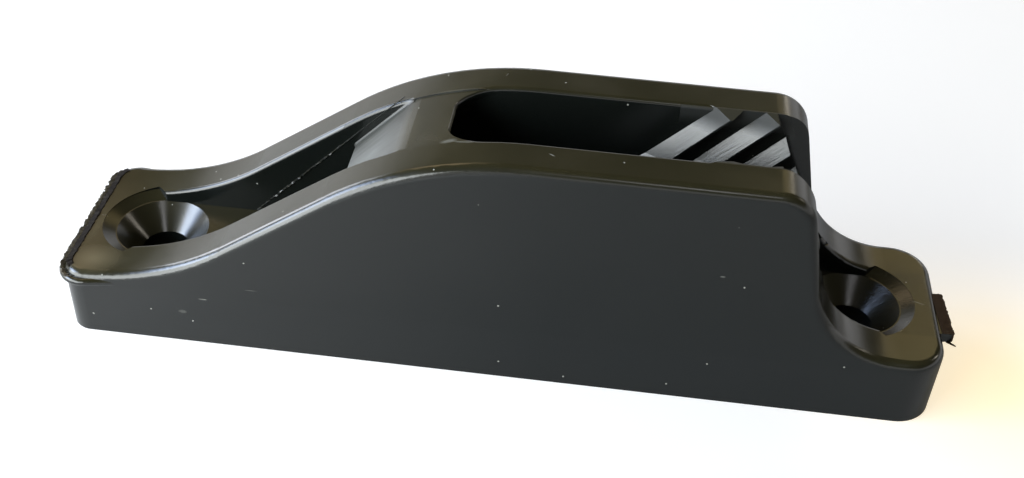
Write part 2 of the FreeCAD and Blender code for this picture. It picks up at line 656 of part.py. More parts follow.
def flare_section(name, level, tangent_x, radius_text, side_sign):
    # Plan section of the flare on one wall, with a round that leaves the wall tangentially.
    sketch = new_sketch(name, "XY_Plane", level)
    radius = value(sketch, radius_text)
    start = value(sketch, tangent_x)
    outer = value(sketch, EXIT)
    face_y = side_sign * wall
    inside_text = "%d * Sizes.trim" % side_sign
    centre_text = "%d * (%s + %s)" % (side_sign, WALL, radius_text)
    inside = value(sketch, inside_text)
    centre = value(sketch, centre_text)
    first, last = (270, 360) if side_sign > 0 else (0, 90)
    inner_first = side_sign > 0
    bow = arc(sketch, (start, centre), radius, first, last)
    out = line(sketch, (start + radius, centre), (outer, centre))
    side = line(sketch, (outer, centre), (outer, inside))
    base = line(sketch, (outer, inside), (start, inside))
    back_side = line(sketch, (start, inside), (start, face_y))
    join(sketch, "Coincident", bow, 2 if inner_first else 1, out, 1)
    join(sketch, "Coincident", out, 2, side, 1)
    join(sketch, "Coincident", side, 2, base, 1)
    join(sketch, "Coincident", base, 2, back_side, 1)
    join(sketch, "Coincident", back_side, 2, bow, 1 if inner_first else 2)
    place(sketch, bow, 3, tangent_x, centre_text)
    measure(sketch, "Radius", bow, radius, radius_text)
    added = sketch.addConstraint(Sketcher.Constraint("DistanceX", -1, 1, bow, 1 if inner_first else 2, start))
    sketch.setExpression("Constraints[%d]" % added, tangent_x)
    sketch.addConstraint(Sketcher.Constraint("Horizontal", out))
    place(sketch, side, 2, EXIT, inside_text)
    sketch.addConstraint(Sketcher.Constraint("Vertical", side))
    sketch.addConstraint(Sketcher.Constraint("Horizontal", base))
    sketch.addConstraint(Sketcher.Constraint("Vertical", back_side))
    added = sketch.addConstraint(Sketcher.Constraint("DistanceY", -1, 1, bow, 2 if inner_first else 1, centre))
    sketch.setExpression("Constraints[%d]" % added, centre_text)
    return settled(sketch)


for side_name, side_sign in (("Far", 1), ("Near", -1)):
    flare_head = flare_section(side_name + "FlareHead", OVER,
                               TAIL_FACE + " - Sizes.tail_round - Sizes.flare_radius / 2",
                               "Sizes.flare_radius", side_sign)
    flare_root = flare_section(side_name + "FlareRoot", "Sizes.flare_level",
                               TAIL_FACE + " + Sizes.tail_round / 2", "Sizes.flare_root", side_sign)
    flare = body.newObject("PartDesign::SubtractiveLoft", side_name + "Flare")
    flare.Profile = flare_head
    flare.Sections = [flare_root]
    finish(flare)

# The top of the bridge lies a step below the strips of the walls and follows their crest.

RISE = "(Sizes.top_level - Sizes.foot_level"
RISE = RISE + " - (Sizes.ramp_radius + Sizes.crest_radius) * (1 - cos(Sizes.ramp_angle * 1deg)))"
CREST_X = ENTRY + " + Sizes.entry_foot + (Sizes.ramp_radius + Sizes.crest_radius)"
CREST_X = CREST_X + " * sin(Sizes.ramp_angle * 1deg) + " + RISE + " / tan(Sizes.ramp_angle * 1deg)"
sink_sketch = new_sketch("BridgeTop", "XZ_Plane")
sunk = crest - size("bridge_sink")
sink_left = value(sink_sketch, core_line(face, "Sizes.foot_level"))
sink_right = value(sink_sketch, core_line(blind, "Sizes.top_level") + " + Sizes.slot_corner")
deep = top - crest


def at_crest(x):
    return deep + math.sqrt(sunk ** 2 - (x - crest_end[0]) ** 2)


first_angle = math.degrees(math.atan2(at_crest(sink_right) - deep, sink_right - crest_end[0]))
last_angle = math.degrees(math.atan2(at_crest(sink_left) - deep, sink_left - crest_end[0]))
b_arc = arc(sink_sketch, (crest_end[0], deep), sunk, first_angle, last_angle)
b_left = line(sink_sketch, (sink_left, at_crest(sink_left)), (sink_left, over))
b_roof = line(sink_sketch, (sink_left, over), (sink_right, over))
b_right = line(sink_sketch, (sink_right, over), (sink_right, at_crest(sink_right)))
join(sink_sketch, "Coincident", b_arc, 2, b_left, 1)
join(sink_sketch, "Coincident", b_left, 2, b_roof, 1)
join(sink_sketch, "Coincident", b_roof, 2, b_right, 1)
join(sink_sketch, "Coincident", b_right, 2, b_arc, 1)
sink_sketch.addConstraint(Sketcher.Constraint("Vertical", b_left))
sink_sketch.addConstraint(Sketcher.Constraint("Vertical", b_right))
place(sink_sketch, b_roof, 1, core_line(face, "Sizes.foot_level"), OVER)
place(sink_sketch, b_roof, 2, core_line(blind, "Sizes.top_level") + " + Sizes.slot_corner", OVER)
place(sink_sketch, b_arc, 3, CREST_X, "Sizes.top_level - Sizes.crest_radius")
measure(sink_sketch, "Radius", b_arc, sunk, "Sizes.crest_radius - Sizes.bridge_sink")
settled(sink_sketch)
sink = pocket_through("BridgeSink", sink_sketch, "Sizes.channel_width")


# The upper edge of the bridge face is eased into the bridge top by a round that touches both.

brow_sketch = new_sketch("BridgeBrow", "XZ_Plane")
ease = size("bridge_ease")
slant = math.radians(size("core_angle"))
face_normal = (math.sin(slant), -math.cos(slant))
along = (math.cos(slant), math.sin(slant))
base_point = (face_now + ease * face_normal[0], lip_level + ease * face_normal[1])
gap = (base_point[0] - crest_end[0], base_point[1] - deep)
half_b = gap[0] * along[0] + gap[1] * along[1]
travel = -half_b + math.sqrt(half_b ** 2 - gap[0] ** 2 - gap[1] ** 2 + (sunk - ease) ** 2)
brow_centre = (base_point[0] + travel * along[0], base_point[1] + travel * along[1])
touch_low = (brow_centre[0] - ease * face_normal[0], brow_centre[1] - ease * face_normal[1])
outward = math.atan2(brow_centre[1] - deep, brow_centre[0] - crest_end[0])
touch_high = (brow_centre[0] + ease * math.cos(outward), brow_centre[1] + ease * math.sin(outward))
peak = (face_now + (over - lip_level) / math.tan(slant), over)
reach_x = value(brow_sketch, core_line(blind, "Sizes.top_level"))
c_guide = line(brow_sketch, (crest_end[0], deep), touch_high)
brow_sketch.toggleConstruction(c_guide)
c_face = line(brow_sketch, touch_low, peak)
c_roof = line(brow_sketch, peak, (reach_x, over))
c_side = line(brow_sketch, (reach_x, over), (reach_x, at_crest(reach_x)))
c_top = arc(brow_sketch, (crest_end[0], deep), sunk,
            math.degrees(math.atan2(at_crest(reach_x) - deep, reach_x - crest_end[0])),
            math.degrees(outward))
c_brow = arc(brow_sketch, brow_centre, ease, math.degrees(outward),
             math.degrees(math.atan2(-face_normal[1], -face_normal[0])))
join(brow_sketch, "Coincident", c_face, 2, c_roof, 1)
join(brow_sketch, "Coincident", c_roof, 2, c_side, 1)
join(brow_sketch, "Coincident", c_side, 2, c_top, 1)
join(brow_sketch, "Tangent", c_top, 2, c_brow, 1)
join(brow_sketch, "Tangent", c_brow, 2, c_face, 1)
join(brow_sketch, "Coincident", c_guide, 1, c_top, 3)
join(brow_sketch, "Coincident", c_guide, 2, c_top, 2)
place(brow_sketch, c_face, 2, core_line(face, OVER), OVER)
place(brow_sketch, c_side, 1, core_line(blind, "Sizes.top_level"), OVER)
brow_sketch.addConstraint(Sketcher.Constraint("Vertical", c_side))
place(brow_sketch, c_top, 3, CREST_X, "Sizes.top_level - Sizes.crest_radius")
measure(brow_sketch, "Radius", c_top, sunk, "Sizes.crest_radius - Sizes.bridge_sink")
measure(brow_sketch, "Radius", c_brow, ease, "Sizes.bridge_ease")
measure(brow_sketch, "Angle", c_face, slant, "Sizes.core_angle * 1deg")
settled(brow_sketch)
brow = pocket_through("BrowCut", brow_sketch, "Sizes.channel_width")

holes = body.newObject("PartDesign::Hole", "ScrewHoles")
holes.Profile = screws
doc.recompute()
holes.Threaded = False
holes.setExpression("Diameter", "Sizes.screw_hole")
holes.DepthType = "ThroughAll"
holes.DrillPoint = "Flat"
holes.HoleCutType = "Countersink"
holes.HoleCutCustomValues = True
holes.setExpression("HoleCutDiameter", "Sizes.sink_rim")
holes.setExpression("HoleCutCountersinkAngle", "Sizes.sink_angle * 1deg")
finish(holes)

# The broken moulding gate stands on the tail end, above the parting line.

gate_sketch = new_sketch("Gate", "XY_Plane", "Sizes.parting_level")
polygon(gate_sketch, [
    (EXIT + " - 1.5 * Sizes.rim_fillet", "-Sizes.gate_near"),
    (EXIT + " + Sizes.gate_reach", "-Sizes.gate_near"),
    (EXIT + " + Sizes.gate_short", "Sizes.gate_far"),
    (EXIT + " - 1.5 * Sizes.rim_fillet", "Sizes.gate_far"),
])
settled(gate_sketch)
gate = body.newObject("PartDesign::Pad", "GateStub")
gate.Profile = gate_sketch
gate.setExpression("Length", "Sizes.gate_height")
finish(gate)

# A round bead of squeezed-out nylon follows the parting line round the entry end and sinks
# into both sides.

BEAD = "Sizes.parting_level + Sizes.bead_level"
bead_path = new_sketch("BeadPath", "XY_Plane", BEAD)
reach_out = size("bead_reach")
bead_x = -half_length - reach_out
bead_y = half_width + reach_out
bend_radius = near_round + reach_out
run_out_x = size("bead_length") - half_length
run_out_y = half_width - size("bead_sink")
corner_x = bead_x + bend_radius
corner_y = bead_y - bend_radius
# The side runs leave the corner arcs tangentially.
distance = math.hypot(run_out_x - corner_x, run_out_y - corner_y)
bearing = math.atan2(run_out_y - corner_y, run_out_x - corner_x)
touch = bearing + math.acos(bend_radius / distance)
touch_point = (corner_x + bend_radius * math.cos(touch), corner_y + bend_radius * math.sin(touch))
p_low = line(bead_path, (run_out_x, -run_out_y), (touch_point[0], -touch_point[1]))
p_low_arc = arc(bead_path, (corner_x, -corner_y), bend_radius, 180, 360 - math.degrees(touch))
p_end = line(bead_path, (bead_x, -corner_y), (bead_x, corner_y))
p_high_arc = arc(bead_path, (corner_x, corner_y), bend_radius, math.degrees(touch), 180)
p_high = line(bead_path, touch_point, (run_out_x, run_out_y))
join(bead_path, "Tangent", p_low, 2, p_low_arc, 2)
join(bead_path, "Tangent", p_low_arc, 1, p_end, 1)
join(bead_path, "Tangent", p_end, 2, p_high_arc, 2)
join(bead_path, "Tangent", p_high_arc, 1, p_high, 1)
bead_path.addConstraint(Sketcher.Constraint("Vertical", p_end))
RUN_OUT = ENTRY + " + Sizes.bead_length"
place(bead_path, p_low, 1, RUN_OUT, "Sizes.bead_sink - Sizes.base_width / 2")
place(bead_path, p_high, 2, RUN_OUT, "Sizes.base_width / 2 - Sizes.bead_sink")
CORNER_X = ENTRY + " + Sizes.entry_corner"
CORNER_Y = "(Sizes.base_width / 2 - Sizes.entry_corner)"
place(bead_path, p_low_arc, 3, CORNER_X, "-" + CORNER_Y)
place(bead_path, p_high_arc, 3, CORNER_X, CORNER_Y)
measure(bead_path, "Radius", p_low_arc, bend_radius, "Sizes.entry_corner + Sizes.bead_reach")
settled(bead_path)
bead_section = new_sketch("BeadSection", "YZ_Plane", RUN_OUT)
bead_circle = bead_section.addGeometry(
    Part.Circle(Vector(-run_out_y, value(bead_section, BEAD), 0), Vector(0, 0, 1), size("bead_radius")), False)
place(bead_section, bead_circle, 3, "Sizes.bead_sink - Sizes.base_width / 2", BEAD)
measure(bead_section, "Radius", bead_circle, size("bead_radius"), "Sizes.bead_radius")
settled(bead_section)
bead = body.newObject("PartDesign::AdditivePipe", "PartingBead")
bead.Profile = bead_section
bead.Spine = bead_path
finish(bead)

# Every object is sound and the one solid is whole before it is written.

doc.recompute()
for item in doc.Objects:
    if "Invalid" in item.State or "Error" in item.State:
        raise RuntimeError("%s is in state %s" % (item.Name, item.State))
solid = body.Shape
if solid.isNull() or not solid.isValid() or len(solid.Solids) != 1:
    raise RuntimeError("the body is not one valid solid: %s" % [(part.Volume, part.CenterOfMass) for part in solid.Solids])
box = solid.BoundBox
print("volume %.1f box %.2f %.2f %.2f to %.2f %.2f %.2f" % (
    solid.Volume, box.XMin, box.YMin, box.ZMin, box.XMax, box.YMax, box.ZMax))
os.makedirs("parts", exist_ok=True)
solid.exportStep("parts/%s.step" % body.Label)
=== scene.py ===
import math

import bpy
from bpy.props import FloatProperty, FloatVectorProperty, IntProperty, PointerProperty
from mathutils import Matrix, Vector


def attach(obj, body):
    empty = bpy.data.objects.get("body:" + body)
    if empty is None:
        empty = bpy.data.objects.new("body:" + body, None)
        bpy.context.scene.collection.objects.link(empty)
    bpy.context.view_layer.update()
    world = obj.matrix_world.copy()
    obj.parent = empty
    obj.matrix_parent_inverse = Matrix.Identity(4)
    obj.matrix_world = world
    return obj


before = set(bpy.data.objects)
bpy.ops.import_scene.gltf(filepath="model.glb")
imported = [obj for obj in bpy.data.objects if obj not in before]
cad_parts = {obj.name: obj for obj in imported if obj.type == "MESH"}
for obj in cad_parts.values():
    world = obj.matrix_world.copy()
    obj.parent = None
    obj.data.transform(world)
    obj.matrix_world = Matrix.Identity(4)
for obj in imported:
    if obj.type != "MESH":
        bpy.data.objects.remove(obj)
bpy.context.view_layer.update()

bl_info = {
    "name": "Jam cleat dresser",
    "version": (1, 0, 0),
    "blender": (4, 5, 0),
    "location": "View3D > Sidebar > Cleat",
    "description": "Gives the packed jam cleat its moulded nylon, its flash and gate scar, "
                   "and sets a plain studio",
    "category": "Object",
}

MM = 0.001
BODY = "cleat_body"


def linear(hex_text):
    """Turn an sRGB hex colour into the linear values that a shader socket takes."""
    shares = [int(hex_text[at:at + 2], 16) / 255 for at in (1, 3, 5)]
    return [share / 12.92 if share <= 0.04045 else ((share + 0.055) / 1.055) ** 2.4
            for share in shares] + [1.0]


class NylonFinish(bpy.types.PropertyGroup):
    """Finish of the moulding."""
    colour: FloatVectorProperty(
        name="Nylon colour", description="Body colour of the black nylon",
        subtype="COLOR", size=4, min=0, max=1, default=linear("#101311"))
    # Painted warm light: this olive tints the faces that lie upwards.
    painted_top_light: FloatVectorProperty(
        name="Bloom colour", description="Olive tint of the faces that lie upwards, dulled by fine dust",
        subtype="COLOR", size=4, min=0, max=1, default=linear("#2a2717"))
    # Painted light: this colour lightens patches on the entry foot and at the head of the bridge.
    painted_light_patch: FloatVectorProperty(
        name="Dust colour", description="Light dust that lies on the entry foot and at the head of the bridge",
        subtype="COLOR", size=4, min=0, max=1, default=linear("#7d745c"))
    flash: FloatVectorProperty(
        name="Flash colour", description="Greyed brown of the thin torn flash at the entry end",
        subtype="COLOR", size=4, min=0, max=1, default=linear("#565045"))
    # Painted shade: this brown-black stands for the shadowed crevice behind the torn flash.
    seam: FloatVectorProperty(
        name="Seam colour", description="Brown-black of the torn seam along the entry end",
        subtype="COLOR", size=4, min=0, max=1, default=linear("#140e09"))
    gate: FloatVectorProperty(
        name="Gate colour", description="Dark brown of the torn end of the moulding gate",
        subtype="COLOR", size=4, min=0, max=1, default=linear("#3a2c20"))
    # This colour also paints the highlight on the rim of the slot's end and the glints.
    speck: FloatVectorProperty(
        name="Speck colour", description="Colour of the small light specks and nicks",
        subtype="COLOR", size=4, min=0, max=1, default=linear("#9a9a92"))
    # Painted reflection: this grey lies on the face of the bridge, thinning towards the far wall.
    painted_face_reflection: FloatVectorProperty(
        name="Scuff colour", description="Grey of the scuffed face of the bridge",
        subtype="COLOR", size=4, min=0, max=1, default=linear("#6e6f6b"))
    roughness: FloatProperty(
        name="Roughness", description="Roughness of the moulded skin",
        default=0.2, min=0, max=1, subtype="FACTOR")
    grain: FloatProperty(
        name="Skin grain", description="Size of the finest unevenness of the moulded skin",
        default=0.12 * MM, min=0, unit="LENGTH", precision=5)
    speck_spacing: FloatProperty(
        name="Speck spacing", description="Rough distance between two specks",
        default=2.4 * MM, min=0.1 * MM, unit="LENGTH", precision=5)


class MouldMarks(bpy.types.PropertyGroup):
    """Marks that the mould left: thin flash, its parting line and the torn gate."""
    core_line: FloatProperty(
        name="Core line", description="Where the core's split line, drawn on down, meets the deck",
        default=-39.0 * MM, unit="LENGTH")
    wall: FloatProperty(
        name="Wall", description="Centre plane to the inner face of a wall",
        default=5.2 * MM, min=0, unit="LENGTH")
    core_flash: FloatProperty(
        name="Core flash", description="How far the flash of the core stands off the wall",
        default=0.12 * MM, min=0, unit="LENGTH", precision=5)
    parting: FloatProperty(
        name="Parting level", description="Height of the parting line above the deck",
        default=7.1 * MM, unit="LENGTH")
    rim_flash: FloatProperty(
        name="Rim flash", description="How far the torn flash stands off the entry end",
        default=0.3 * MM, min=0, unit="LENGTH", precision=5)
    recess: FloatProperty(
        name="Recess radius", description="Radius of the recess round a screw head",
        default=6.9 * MM, min=0, unit="LENGTH")
    cove: FloatProperty(
        name="Cove", description="Width of the sloping cove at the foot of a recess",
        default=1.42 * MM, min=0, unit="LENGTH", precision=5)
    seed: IntProperty(name="Seed", description="Picks one ragged outline out of many", default=7, min=0)


class StudioLook(bpy.types.PropertyGroup):
    """Floor, ceiling, even light and camera."""
    floor_colour: FloatVectorProperty(
        name="Floor colour", description="Colour of the pale floor",
        subtype="COLOR", size=4, min=0, max=1, default=linear("#bfbebc"))
    # The glow is painted warm light on the floor behind the tail foot, where the moulding's shadow falls.
    glow_colour: FloatVectorProperty(
        name="Glow colour", description="Warm tint of the floor behind the tail foot",
        subtype="COLOR", size=4, min=0, max=1, default=linear("#ffe9bd"))
    card_level: FloatProperty(
        name="Card level", description="How far the floor is lifted towards white for the eye",
        default=0.59, min=0, max=1)
    floor_size: FloatProperty(
        name="Floor size", description="Side of the square floor",
        default=6.0, min=0.5, unit="LENGTH")
    ceiling_colour: FloatVectorProperty(
        name="Ceiling colour", description="Colour of the ceiling out of the camera's view",
        subtype="COLOR", size=4, min=0, max=1, default=linear("#bdb692"))
    world_level: FloatProperty(
        name="World level", description="Strength of the even light from all round",
        default=0.32, min=0, max=2)
    camera_place: FloatVectorProperty(
        name="Camera place", description="Where the camera stands",
        subtype="TRANSLATION", size=3, unit="LENGTH", default=(10.89 * MM, -120.11 * MM, 106.91 * MM))
    camera_pitch: FloatProperty(
        name="Camera pitch", description="How far the camera looks down",
        default=math.radians(38.32), subtype="ANGLE")
    camera_yaw: FloatProperty(
        name="Camera yaw", description="How far the camera looks away from +Y",
        default=math.radians(-4.88), subtype="ANGLE")
    camera_roll: FloatProperty(
        name="Camera roll", description="How far the camera is tilted over",
        default=math.radians(3.13), subtype="ANGLE")
    lens: FloatProperty(
        name="Lens", description="Focal length on a 36 mm wide sensor",
        default=46.69, min=10, max=200, unit="CAMERA")


# Small nicks and smears that use has left, and painted glints, such as the three strokes by the tail
# recess: place and size in mm, turn about Z in degrees, and how plainly each shows, from 0 to 1.
NICKS_AND_GLINTS = (
    # slot's end and the top of the bridge
    ((-6.3, -4.9, 28.0), (2.2, 1.1, 2.6), 10, 0.4),
    ((-4.6, -5.4, 28.0), (2.6, 0.45, 2.6), -12, 0.3),
    ((-7.8, 5.3, 28.0), (9.5, 0.45, 3.0), 0, 0.12),
    ((-1.0, 4.65, 28.6), (0.3, 0.3, 0.6), 0, 0.9),
    # tops of the two walls
    ((-1.6, 8.1, 28.9), (0.16, 1.2, 0.8), -25, 0.6),
    ((4.9, -7.1, 28.9), (0.9, 0.22, 0.8), -30, 0.8),
    # entry foot and tail foot
    ((-48.3, 0.1, 8.5), (1.8, 0.12, 0.8), 0, 0.25),
    ((47.9, 0.2, 8.5), (1.9, 0.2, 0.8), -20, 0.55),
    # painted glints on the rim of the tail recess
    ((45.8, -2.5, 8.5), (1.3, 0.22, 0.8), 40, 0.5),
    ((46.2, -3.0, 8.5), (1.1, 0.18, 0.8), 52, 0.45),
    ((45.3, -5.0, 8.5), (0.8, 0.16, 0.8), 35, 0.4),
    # near side
    ((-33.2, -10.8, 6.7), (1.2, 2.0, 0.2), 0, 0.5),
    ((-35.8, -10.8, 4.5), (1.2, 2.0, 0.6), 0, 0.2),
    ((-46.6, -10.8, 2.6), (0.3, 2.0, 0.35), 0, 0.8),
    ((-27.5, -10.8, 8.8), (1.6, 2.0, 0.14), 0, 0.25),
    ((24.0, -10.8, 18.0), (0.7, 2.0, 0.25), 0, 0.4),
)

# Where painted light patches lie, on the entry foot and at the head of the bridge: place and size in mm, and
# how strong each is, from 0 to 1.
PAINTED_LIGHT_PATCHES = (
    ((-46.6, -8.0, 8.5), (7, 6, 5), 0.42),
    ((-48.6, -2.0, 8.5), (2, 8, 4), 0.12),
    ((-12.6, -1.0, 27.4), (6, 13, 5), 0.3),
)

# Soft lamps that stand for the windows and walls which the nylon mirrors: name, azimuth and elevation in
# degrees, distance, width and height in metres, power in watts, colour.
LAMPS = (
    ("window_left", 190, 31, 0.6, 0.30, 0.22, 2.4, "#bdd5ff"),
    ("window_front_left", 215, 18, 0.3, 0.31, 0.18, 2.0, "#e9eff0"),
    ("window_back", 150, 18, 0.8, 0.30, 0.38, 3.0, "#eef4ff"),
    ("warm_wall", 127, 45, 0.9, 0.30, 0.26, 0.5, "#ffdfb0"),
    ("warm_wall_right", 66, 38, 0.9, 0.24, 0.26, 0.24, "#ffe6a4"),
    ("window_far", 64, 23, 0.9, 0.10, 0.05, 0.14, "#fff4e0"),
    ("fill_front", -80, 53, 0.8, 0.10, 0.10, 0.25, "#fbfbff"),
    ("fill_right", 25, 33, 0.8, 0.10, 0.14, 0.26, "#fff6e6"),
)

# Landmarks of the moulding that bound the painted reflection on the bridge face, the painted highlight on the
# rim of the slot's end, and the jaws.
BETWEEN_WALLS = 5.4 * MM      # half the channel and a little of each wall
FACE_START = -20 * MM         # just ahead of the lower lip of the bridge
FACE_FULL = -15.5 * MM        # the painted reflection on its face is even up to here
FACE_FADED = -11 * MM         # and hardly at all from here on
FACE_NEAR, FACE_FAR = -1 * MM, 6 * MM     # the painted reflection thins from the middle to the far wall
SLOT_RIM_LEVEL = 26.8 * MM    # the rim of the slot's end lies above this
SLOT_RIM_END = -3 * MM        # and ahead of this
SLOT_RIM_NEAR, SLOT_RIM_FAR = 1.2 * MM, 3.0 * MM    # its painted highlight thins between these
JAWS_START = 18 * MM          # all between the walls behind this is jaw or ridge
RIDGES_DULLED, RIDGES_DULL = 26.2 * MM, 27.8 * MM   # levels between which the ridges turn dull
NYLON_IOR = 1.53


def add_node(tree, kind, sockets=None, links=None, **settings):
    """Add one node, set its own settings and its sockets, and link what feeds it."""
    node = tree.nodes.new(kind)
    for name, value in settings.items():
        setattr(node, name, value)
    for name, value in (sockets or {}).items():
        node.inputs[name].default_value = value
    for name, source in (links or {}).items():
        tree.links.new(source, node.inputs[name])
    return node


def new_material(name):
    """Make a material with an empty node tree."""
    material = bpy.data.materials.new(name)
    material.use_nodes = True
    material.node_tree.nodes.clear()
    return material


def mark(tree, where, place, size, turn=0.0, firm=0.5):
    """Mask of one small mark, 1 in its middle and 0 outside.

    Place and size are in mm and the turn about Z in degrees. Firm is the share of the size that is full.
    """
    inside = add_node(tree, "ShaderNodeMapping",
                      {"Location": [part * MM for part in place], "Rotation": (0, 0, math.radians(turn)),
                       "Scale": [part * MM / 2 for part in size]}, {"Vector": where}, vector_type="TEXTURE")
    away = add_node(tree, "ShaderNodeVectorMath", links={0: inside.outputs[0]}, operation="LENGTH")
    return add_node(tree, "ShaderNodeMapRange", {"From Min": 1.0, "From Max": firm},
                    {"Value": away.outputs["Value"]})


def bridge_face(tree, spot, facing, between):
    """Mask of the bridge face that looks towards the entry, which is matt and carries a painted reflection."""
    ahead = add_node(tree, "ShaderNodeMapRange",
                     {"From Min": FACE_FADED, "From Max": FACE_FULL, "To Min": 0.1, "To Max": 1.0},
                     {"Value": spot.outputs["X"]})
    past = add_node(tree, "ShaderNodeMath", {1: FACE_START}, {0: spot.outputs["X"]}, operation="GREATER_THAN")
    face = add_node(tree, "ShaderNodeMapRange", {"From Min": -0.15, "From Max": -0.6},
                    {"Value": facing.outputs["X"]})
    for share in (between, ahead, past):
        face = add_node(tree, "ShaderNodeMath", links={0: face.outputs[0], 1: share.outputs[0]},
                        operation="MULTIPLY")
    return face


def rim_highlight_and_nicks(tree, where, spot, facing):
    """Mask of the painted highlight on the rim of the slot's end, and of the small nicks, smears and painted
    glints.
    """
    # A painted highlight lies on the rounded rim of the slot's end, where it faces into the slot.
    highlight_and_nicks = add_node(tree, "ShaderNodeMapRange",
                    {"From Min": 0.2, "From Max": 0.5, "To Min": 0.0, "To Max": 0.6},
                    {"Value": facing.outputs["X"]})
    high = add_node(tree, "ShaderNodeMath", {1: SLOT_RIM_LEVEL}, {0: spot.outputs["Z"]},
                    operation="GREATER_THAN")
    early = add_node(tree, "ShaderNodeMath", {1: SLOT_RIM_END}, {0: spot.outputs["X"]}, operation="LESS_THAN")
    near_half = add_node(tree, "ShaderNodeMapRange", {"From Min": SLOT_RIM_FAR, "From Max": SLOT_RIM_NEAR},
                         {"Value": spot.outputs["Y"]})
    for share in (high, early, near_half):
        highlight_and_nicks = add_node(tree, "ShaderNodeMath", links={0: highlight_and_nicks.outputs[0], 1: share.outputs[0]},
                        operation="MULTIPLY")
    for place_mm, size_mm, turn, share in NICKS_AND_GLINTS:
        nick_and_glint = mark(tree, where, place_mm, size_mm, turn)
        nick_and_glint = add_node(tree, "ShaderNodeMath", {1: share}, {0: nick_and_glint.outputs[0]}, operation="MULTIPLY")
        highlight_and_nicks = add_node(tree, "ShaderNodeMath", links={0: highlight_and_nicks.outputs[0], 1: nick_and_glint.outputs[0]},
                        operation="MAXIMUM")
    return highlight_and_nicks


